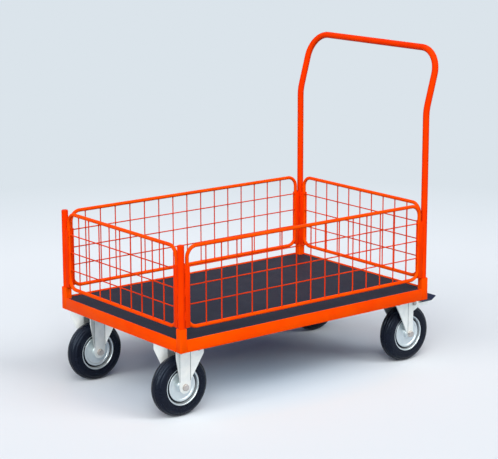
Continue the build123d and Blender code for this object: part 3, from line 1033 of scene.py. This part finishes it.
@dataclass
class MeshPanel:
    """A lift-out panel: bent bar rim and welded wires."""

    side: PanelSide
    uprights: int
    upright_shift: float
    row_shift: float
    rows: int = 3
    bar_radius: float = 6 * MM
    corner_radius: float = 35 * MM
    butt_place: float = 0.31
    butt_reach: float = 2 * MM
    butt_height: float = 0.7 * MM
    wire_radius: float = 2 * MM
    wire_sides: int = 12
    pitch: float = 60 * MM
    sunk: float = 1.2 * MM
    collar: float = 3.4 * MM
    collar_radius: float = 2.6 * MM
    nugget_width: float = 2.5 * MM
    nugget_height: float = 1.1 * MM

    def build(self) -> None:
        """Bends the rim, adds the butt weld of its bar and welds the wires into it."""
        name = f"{self.side.word}_panel"
        along, outwards = (Vector(direction) for direction in self.side.value)
        low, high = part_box(f"{name}_rim")
        middle, reach = (low + high) / 2, (high - low) / 2
        half = abs(reach.dot(along)) - self.bar_radius
        rise = reach.z - self.bar_radius
        ends = ((-1, -1), (1, -1), (1, 1), (-1, 1))
        corners = [middle + along * half * x + UP * rise * z for x, z in ends]
        rim = Workpiece()
        route = bent_route(corners, [self.corner_radius] * 4, closed=True)
        rim.bar(route, self.bar_radius, closed=True)
        bar, butt = self.bar_radius, self.butt_reach
        weld = [(0, -butt), (bar, -butt), (bar + self.butt_height, 0), (bar, butt), (0, butt)]
        joint = middle - UP * rise + along * half * self.butt_place
        rim.turned(weld, axis_place(joint, along), sides=24)
        rim.place(f"{name}_bent_rim", FRAME_PAINT, name, [f"{name}_rim"])

        wires = Workpiece()
        off = outwards * self.wire_radius
        columns = [middle + along * s + off for s in self.spread(self.uprights, self.upright_shift)]
        rows = [middle + UP * s - off for s in self.spread(self.rows, self.row_shift)]
        for centre in columns:
            self.add_wire(wires, centre, UP, rise - self.bar_radius)
        for centre in rows:
            self.add_wire(wires, centre, along, half - self.bar_radius)
        size = Vector([self.nugget_height if c else self.nugget_width for c in outwards])
        for column in columns:
            for row in rows:
                wires.nugget(Vector((column.x, column.y, row.z)) - off, size)
        wires.place(f"{name}_welded_wires", WIRE_COAT_WITH_PAINTED_SHADE, name, [f"{name}_mesh"])

    def spread(self, count: int, shift: float) -> list[float]:
        """Returns the places of wires at the mesh pitch, about a shifted middle."""
        return [shift + (k - (count - 1) / 2) * self.pitch for k in range(count)]

    def add_wire(self, wires: Workpiece, centre: Vector, along: Vector, half: float) -> None:
        """Adds a straight wire whose ends flare into the rim.

        Args:
            wires: The mesh that takes it.
            centre: Middle of the wire.
            along: Its direction.
            half: Half the clear span between the rim bars.
        """
        stations = [half - self.collar, half, half + self.sunk]
        stations = [-station for station in reversed(stations)] + stations
        radii = [self.collar_radius, self.collar_radius, self.wire_radius]
        wires.bar([centre + along * s for s in stations], radii + radii[::-1], self.wire_sides)


@dataclass
class Wheel:
    """A solid rubber tyre on a pressed steel centre. The two sections are in millimetres."""

    end: End
    hand: Hand
    radius: float = 100 * MM
    width: float = 50 * MM
    side_radius: float = 77 * MM
    shoulder_power: float = 2.2
    shoulder_steps: int = 150
    seat_radius: float = 62.8 * MM
    lip_radius: float = 66 * MM
    lip_step: float = 0.8 * MM
    lip_round: float = 0.24 * MM
    lip_reach: float = 2.4 * MM
    lip_drop: float = 1.6 * MM
    groove_pitch: float = 10.5 * MM
    groove_width: float = 4.2 * MM
    groove_depth: float = 2.2 * MM
    groove_start: float = 4 * MM
    groove_count: int = 5
    ring_radii: tuple[float, float] = (71 * MM, 84 * MM)
    ring_size: float = 0.9 * MM
    ring_sunk: float = 0.36 * MM
    ring_sides: int = 12
    # Dark rubber rings in the centre's grooves, as radius and height: painted shade in the grooves.
    bead_section: tuple[tuple[float, float], ...] = (
        (50.6, 7.0), (55.0, 7.0), (55.6, 12.0), (53.5, 13.6), (50.6, 17.2),
    )
    centre_section: tuple[Triple, ...] = (
        (6.1, 30.1, 0.4), (15.5, 30.1, 1.2), (17.0, 27.5, 1.0), (17.0, 16.6, 2.0),
        (41.5, 15.6, 1.5), (44.0, 18.0, 1.5), (49.8, 17.8, 1.6), (51.6, 8.6, 1.5),
        (54.6, 8.6, 1.5), (58.0, 20.5, 1.2), (59.4, 22.0, 1.0), (62.4, 21.6, 0.8),
    )
    sides: int = 128

    def build(self) -> None:
        """Turns the tyre, the wheel centre and dark rubber rings in its grooves about the axle; the
        rings paint the shade that falls in the grooves.
        """
        name = f"{self.end.word}_{self.hand.word}"
        low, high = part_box(f"{name}_tyre")
        place = axis_place((low + high) / 2, Vector((0, -1, 0)))
        groove_shade_rings = [[(r * MM, side * a * MM) for r, a in self.bead_section] for side in SIGNS]
        tyre = [self.tyre_outline(), *self.ring_outlines()]
        for word, finish, outlines, replaces in (
            ("ribbed_tyre", RUBBER, tyre, [f"{name}_tyre"]),
            ("pressed_centre", WHEEL_ZINC, [self.centre_outline()], [f"{name}_rim"]),
            # The dark rings in the grooves are painted shade.
            ("groove_painted_shade", RUBBER, groove_shade_rings, []),
        ):
            piece = Workpiece()
            for outline in outlines:
                piece.turned(outline, place, sides=self.sides)
            piece.place(f"{name}_{word}", finish, f"{name}_wheel", replaces)

    def tyre_outline(self) -> Outline:
        """Draws the tyre's section, with its rounded shoulders, fine grooves and stepped lips.

        Returns:
            The closed outline.
        """
        half = self.width / 2
        lip = [
            (self.seat_radius, half - self.lip_drop),
            (self.lip_radius, half - self.lip_drop),
            (self.lip_radius + self.lip_step, half - self.lip_round),
            (self.lip_radius + self.lip_reach, half),
        ]
        tread = []
        share = 2 / self.shoulder_power
        for k in range(self.shoulder_steps + 1):
            turn = math.pi * k / self.shoulder_steps
            across = math.copysign(abs(math.cos(turn)) ** share, math.cos(turn)) * half
            rise = max(0.0, math.sin(turn)) ** share * (self.radius - self.side_radius)
            height = self.side_radius + rise
            tread.append((height - self.groove_at(across, height), across))
        return lip + tread + [(radius, -across) for radius, across in reversed(lip)]

    def ring_outlines(self) -> list[Outline]:
        """Draws the raised rings on both side walls.

        Returns:
            The closed outline of each ring.
        """
        turns = [math.tau * k / self.ring_sides for k in range(self.ring_sides)]
        circle = [(self.ring_size * math.cos(a), self.ring_size * math.sin(a)) for a in turns]
        outlines = []
        for radius in self.ring_radii:
            climb = max(0.0, radius - self.side_radius) / (self.radius - self.side_radius)
            wall = self.width / 2 * (1 - climb**self.shoulder_power) ** (1 / self.shoulder_power)
            for side in SIGNS:
                middle = side * (wall - self.ring_sunk)
                outlines.append([(radius + first, middle + second) for first, second in circle])
        return outlines

    def groove_at(self, across: float, height: float) -> float:
        """Gives the depth of the fine tread grooves at a place across the tread.

        Args:
            across: Distance from the tyre's middle plane.
            height: Radius of the plain tyre there.

        Returns:
            The depth to take off.
        """
        line = round(across / self.groove_pitch)
        if abs(line) > self.groove_count // 2 or height < self.side_radius + self.groove_start:
            return 0.0
        off = abs(across - line * self.groove_pitch) / (self.groove_width / 2)
        return self.groove_depth * max(0.0, 1 - off)

    def centre_outline(self) -> Outline:
        """Draws the pressed centre: hub, disc, ridge, groove and lip on both sides.

        Returns:
            The closed outline.
        """
        half = [(r * MM, across * MM, edge * MM) for r, across, edge in self.centre_section]
        return rounded_outline(half + [(r, -across, edge) for r, across, edge in reversed(half)])


@dataclass
class ThroughBolt:
    """A bolt through both legs of a fork: head on one side, nut and thread on the other.

    The shares are those of a washer in its head, of a washer's radius in the flats, and of a nut in
    the height that its washer leaves.
    """

    node: str
    flats: float
    head: float
    radius: float
    pitch: float = 1.0 * MM
    washer_share: float = 0.2
    washer_reach: float = 0.62
    nut_share: float = 0.72

    def build(self, name: str, body: str) -> None:
        """Builds the shank, and a washer with the head or the nut at each end.

        Args:
            name: The piece's name.
            body: The CAD body that it rides on.
        """
        low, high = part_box(self.node)
        middle = (low + high) / 2
        seat = (high.y - low.y) / 2 - self.head
        washer = self.washer_share * self.head
        room = self.head - washer
        bolt = Workpiece()
        bolt.bar([middle + Vector((0, side * seat, 0)) for side in SIGNS], self.radius)
        for side in SIGNS:
            outwards = Vector((0, side, 0))
            place = axis_place(middle + outwards * seat, outwards)
            bolt.washer(self.radius, self.flats * self.washer_reach, washer, place)
            height = room if side < 0 else self.nut_share * room
            bolt.hexagon(self.flats, height, raised(place, washer))
            if side > 0:
                dish = bolt.dish_height_share * height
                tip = raised(place, washer + dish)
                bolt.threaded_end(2 * self.radius, room - dish, self.pitch, tip)
        bolt.place(name, BOLT_STEEL_WITH_PAINTED_SHADE, body, [self.node])


@dataclass
class FootBrake:
    """The foot brake of a rear castor: lever, bush and shoe, and a pedal with a ribbed pad."""

    castor: str
    lever_edge: float = 0.6 * MM
    bush_edge: float = 0.5 * MM
    shoe_edge: float = 0.6 * MM
    plate_thickness: float = 2.4 * MM
    plate_edge: float = 0.7 * MM
    pad_start: float = 5 * MM
    pad_top: float = 5 * MM
    pad_edge: float = 1.0 * MM
    knee_x: float = 47 * MM
    knee_radius: float = 5 * MM
    toe_back: float = 1.2 * MM
    toe_drop: float = 4.6 * MM
    rib_count: int = 5
    rib_start: float = 10 * MM
    rib_pitch: float = 7 * MM
    rib_inset: float = 6 * MM
    rib_radius: float = 1.1 * MM

    def build(self) -> None:
        """Rounds the lever, bush and shoe, and folds the pedal's plate and its ribbed pad."""
        body = f"{self.castor}_brake"
        edges = {"lever": self.lever_edge, "bush": self.bush_edge, "shoe": self.shoe_edge}
        for part, edge in edges.items():
            dress_node(f"{body}_{part}", f"{body}_{part}_steel", ZINC, body, edge)
        node = f"{body}_pedal"
        low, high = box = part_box(node)
        knee = Vector((self.knee_x, 0, 0))
        toe = Vector((high.x - low.x - self.toe_back, 0, high.z - low.z - self.toe_drop))
        radii = [0, self.knee_radius, 0]
        plate = Workpiece()
        route = bent_route([Vector(), knee, toe], radii)
        plate.folded(route, (0.0, self.plate_thickness), box, self.plate_edge)
        plate.place(f"{node}_plate", ZINC, body)
        pad = Workpiece()
        route = bent_route([Vector((self.pad_start, 0, 0)), knee, toe], radii)
        pad.folded(route, (self.plate_thickness, self.pad_top), box, self.pad_edge)
        for k in range(self.rib_count):
            x = low.x + self.rib_start + self.rib_pitch * k
            ends = (low.y + self.rib_inset, high.y - self.rib_inset)
            rib = [Vector((x, y, low.z + self.pad_top)) for y in ends]
            pad.bar(rib, self.rib_radius, sides=12)
        pad.place(f"{node}_ribbed_pad", PEDAL_COAT, body, [node])


@dataclass
class Castor:
    """Fork, axle bolt and plate bolts of one castor, with the swivel head and brake at the rear."""

    end: End
    hand: Hand
    fork_edge: float = 1.1 * MM
    fold_length: float = 60 * MM
    fold_radius: float = 0.9 * MM
    plate_thickness: float = 5 * MM
    backing_thickness: float = 4 * MM
    bolt_x: float = 34 * MM
    bolt_y: float = 59 * MM
    bolt_radius: float = 4 * MM
    bolt_pitch: float = 0.8 * MM
    bolt_flats: float = 13 * MM
    bolt_head: float = 5.3 * MM
    bolt_nut: float = 6.5 * MM
    bolt_tip: float = 2.5 * MM
    washer_radius: float = 8 * MM
    washer_thickness: float = 1.4 * MM
    race_edge: float = 0.9 * MM
    pin_radius: float = 8 * MM
    pin_flats: float = 24 * MM
    pin_nut: float = 9 * MM

    @property
    def name(self) -> str:
        """The castor's name in the names of its nodes."""
        return f"{self.end.word}_{self.hand.word}"

    def build(self) -> None:
        """Builds the fork, the fasteners and, at the rear, the swivel head and the brake."""
        name = self.name
        body = f"{name}_swivel" if self.end is End.REAR else CHASSIS
        fork = f"{name}_fork"
        dress_node(fork, f"{fork}_pressing", ZINC, body, self.fork_edge, steps=3)
        # Thin dark bars in the fork's inward folds: painted shade in the creases.
        crease_shade_bars = Workpiece()
        crease_shade_bars.fold_lines(fork, self.fold_length, self.fold_radius)
        crease_shade_bars.place(f"{fork}_fold_lines", CREASE_SHADE_ZINC, body)
        axle = ThroughBolt(f"{name}_axle", flats=18 * MM, head=7.5 * MM, radius=6 * MM)
        axle.build(f"{name}_axle_bolt", body)
        self.build_plate_bolts()
        if self.end is End.REAR:
            self.build_swivel_head()
            pivot = ThroughBolt(f"{name}_brake_bolt", flats=13 * MM, head=5 * MM, radius=4 * MM)
            pivot.build(f"{name}_pivot_bolt", body)
            FootBrake(name).build()

    def build_plate_bolts(self) -> None:
        """Builds the four bolts of the castor plate, nuts below it and heads on the frame above."""
        low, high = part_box(f"{self.name}_{'top_plate' if self.end is End.REAR else 'fork'}")
        frame_low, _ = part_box("castor_backing_plates")
        centre = (low + high) / 2
        under = high.z - self.plate_thickness
        over = frame_low.z + self.backing_thickness
        dish = Workpiece.dish_height_share * self.bolt_nut
        bolts = Workpiece()
        for x in (centre.x - self.bolt_x, centre.x + self.bolt_x):
            for y in (centre.y - self.bolt_y, centre.y + self.bolt_y):
                below = axis_place(Vector((x, y, under)), -UP)
                bolts.washer(self.bolt_radius, self.washer_radius, self.washer_thickness, below)
                seat = raised(below, self.washer_thickness)
                bolts.hexagon(self.bolt_flats, self.bolt_nut, seat)
                tip = raised(seat, dish)
                bolts.threaded_end(2 * self.bolt_radius, self.bolt_tip, self.bolt_pitch, tip)
                above = axis_place(Vector((x, y, over)), UP)
                bolts.hexagon(self.bolt_flats, self.bolt_head, above)
        bolts.place(f"{self.name}_plate_bolts", BOLT_STEEL_WITH_PAINTED_SHADE, CHASSIS)

    def build_swivel_head(self) -> None:
        """Builds the castor plate with its race, and the kingpin with its nut."""
        plate, node = f"{self.name}_top_plate", f"{self.name}_kingpin"
        dress_node(plate, f"{self.name}_plate_and_race", ZINC, CHASSIS, self.race_edge, steps=3)
        low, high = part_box(node)
        centre = (low + high) / 2
        seat, top = (Vector((centre.x, centre.y, z)) for z in (low.z + self.pin_nut, high.z))
        pin = Workpiece()
        pin.bar([seat, top], self.pin_radius)
        pin.hexagon(self.pin_flats, self.pin_nut, axis_place(seat, -UP))
        pin.place(f"{node}_bolt", ZINC, CHASSIS, [node])


# Camera, light and floor


@dataclass(frozen=True)
class Lamp:
    """A broad soft lamp: its strength, its spread and the direction that it shines from."""

    name: str
    strength: float
    spread: float
    source: Triple


@dataclass
class Studio:
    """Pale seamless floor, soft lights and the camera at the photograph's angle."""

    camera_place: Triple = (-3.4495, -4.4205, 1.7586)
    camera_yaw: float = math.radians(38.06)
    camera_pitch: float = math.radians(12.73)
    camera_roll: float = math.radians(0.12)
    lens: float = 123.84
    sensor: float = 36.0
    sight_end: float = 200.0
    floor_size: float = 80.0
    # Blue tint of the floor under the trolley: painted shadow colour.
    under_floor: Colour = linear(203, 228, 249)
    near_floor: Colour = linear(224, 229, 233)
    far_floor: Colour = linear(219, 228, 235)
    floor_bounce: Colour = linear(145, 166, 198)
    ambient: float = 0.16
    ambient_colour: Colour = linear(122, 172, 240)
    under_shape: Triple = (1.0, 1.6, 1.0)
    under_start: float = 0.10
    under_end: float = 0.72
    fade_start: float = 1.9
    fade_end: float = 3.4
    lamp_colour: Triple = (1.0, 0.98, 0.945)
    lamps: tuple[Lamp, ...] = (
        Lamp("front_lamp", 2.1, math.radians(34), (-0.56, -0.62, 0.56)),
        Lamp("left_lamp", 1.5, math.radians(34), (-0.93, -0.08, 0.36)),
        Lamp("right_lamp", 1.2, math.radians(30), (0.34, -0.73, 0.59)),
        Lamp("top_lamp", 1.15, math.radians(44), (-0.10, -0.49, 0.87)),
    )

    def build(self) -> None:
        """Sets up camera, lights, world and floor."""
        self.build_camera()
        self.build_lights()
        self.build_world()
        self.build_floor()
        bpy.context.scene.view_settings.view_transform = "Standard"

    def build_camera(self) -> None:
        """Places the camera where the photograph was taken from."""
        data = bpy.data.cameras.new("camera")
        data.lens = self.lens
        data.sensor_width = self.sensor
        data.clip_end = self.sight_end
        camera = bpy.data.objects.new("camera", data)
        yaw, pitch = self.camera_yaw, self.camera_pitch
        level = math.cos(pitch)
        sight = Vector((math.sin(yaw) * level, math.cos(yaw) * level, -math.sin(pitch)))
        roll = Quaternion(sight, self.camera_roll)
        camera.rotation_mode = "QUATERNION"
        camera.rotation_quaternion = roll @ sight.to_track_quat("-Z", "Y")
        camera.location = self.camera_place
        bpy.context.scene.collection.objects.link(camera)
        bpy.context.scene.camera = camera

    def build_lights(self) -> None:
        """Adds broad soft lamps round the trolley, each shining from its source."""
        for lamp in self.lamps:
            data = bpy.data.lights.new(lamp.name, "SUN")
            data.energy = lamp.strength
            data.color = self.lamp_colour
            data.angle = lamp.spread
            light = bpy.data.objects.new(lamp.name, data)
            light.rotation_mode = "QUATERNION"
            light.rotation_quaternion = (-Vector(lamp.source)).to_track_quat("-Z", "Y")
            bpy.context.scene.collection.objects.link(light)

    @staticmethod
    def seen_rays(sheet: Sheet) -> Socket:
        """Tells what the camera sees, directly or by reflection, from light.

        Args:
            sheet: The sheet that takes the nodes.

        Returns:
            A value of 1 for what is seen, and 0 for light.
        """
        path = sheet.node("ShaderNodeLightPath").outputs
        seen = sheet.math("MAXIMUM", path["Is Camera Ray"], path["Is Glossy Ray"])
        return sheet.math("MAXIMUM", seen, path["Is Transmission Ray"])

    @staticmethod
    def mix(sheet: Sheet, share: Socket, first: bpy.types.Node, second: bpy.types.Node) -> Socket:
        """Mixes two shaders by the share of the second and returns the output."""
        shaders = {0: share, 1: first.outputs[0], 2: second.outputs[0]}
        return sheet.node("ShaderNodeMixShader", shaders).outputs[0]

    def build_world(self) -> None:
        """Gives soft light from all round, and a pale backdrop to the camera and to reflections."""
        world = bpy.data.worlds.new("studio")
        sheet = Sheet.fresh(world)
        glow = {"Color": self.ambient_colour, "Strength": self.ambient}
        light = sheet.node("ShaderNodeBackground", glow)
        backdrop = sheet.node("ShaderNodeBackground", {"Color": self.far_floor, "Strength": 1.0})
        mixed = self.mix(sheet, self.seen_rays(sheet), light, backdrop)
        sheet.node("ShaderNodeOutputWorld", {"Surface": mixed})
        bpy.context.scene.world = world

    def build_floor(self) -> None:
        """Lays a pale floor that keeps the shadow, with a painted blue shadow tint under the
        trolley, and fades into the backdrop far away.
        """
        data = bpy.data.meshes.new("floor")
        half = self.floor_size / 2
        corners = [(-half, -half, 0), (half, -half, 0), (half, half, 0), (-half, half, 0)]
        data.from_pydata(corners, [], [(0, 1, 2, 3)])
        floor = bpy.data.objects.new("floor", data)
        bpy.context.scene.collection.objects.link(floor)
        paper = bpy.data.materials.new("paper_floor")
        data.materials.append(paper)
        sheet = Sheet.fresh(paper)
        place = sheet.node("ShaderNodeTexCoord").outputs["Object"]
        far = sheet.span(sheet.length(place), self.fade_start, self.fade_end)
        # A blue patch under the trolley that fades outwards: painted shadow tint.
        shape = {0: place, 1: self.under_shape}
        oval = sheet.node("ShaderNodeVectorMath", shape, operation="MULTIPLY").outputs["Vector"]
        clear = sheet.span(sheet.length(oval), self.under_start, self.under_end)
        colour = sheet.blend(clear, self.under_floor, self.near_floor)
        colour = sheet.blend(far, colour, self.far_floor)
        seen = self.seen_rays(sheet)
        matt_colour = sheet.blend(seen, self.floor_bounce, colour)
        matt = sheet.node("ShaderNodeBsdfDiffuse", {"Color": matt_colour})
        glow = sheet.node("ShaderNodeEmission", {"Color": colour, "Strength": 1.0})
        mixed = self.mix(sheet, sheet.math("MULTIPLY", seen, far), matt, glow)
        sheet.node("ShaderNodeOutputMaterial", {"Surface": mixed})


def main() -> None:
    """Builds the studio and the sub-assemblies in order."""
    logging.basicConfig(level=logging.INFO, format="%(message)s")
    Studio().build()
    DeckFrame().build()
    PushHandle().build()
    for hand in Hand:
        FrontPost(hand).build()
        for end in End:
            GuideChannels(end, hand).build()
            Wheel(end, hand).build()
            Castor(end, hand).build()
    for side in (PanelSide.LEFT, PanelSide.RIGHT):
        MeshPanel(side, uprights=15, upright_shift=6 * MM, row_shift=5 * MM).build()
    MeshPanel(PanelSide.FRONT, uprights=9, upright_shift=0.0, row_shift=-5 * MM).build()
    MeshPanel(PanelSide.REAR, uprights=9, upright_shift=0.0, row_shift=5 * MM).build()


if __name__ == "__main__":
    main()
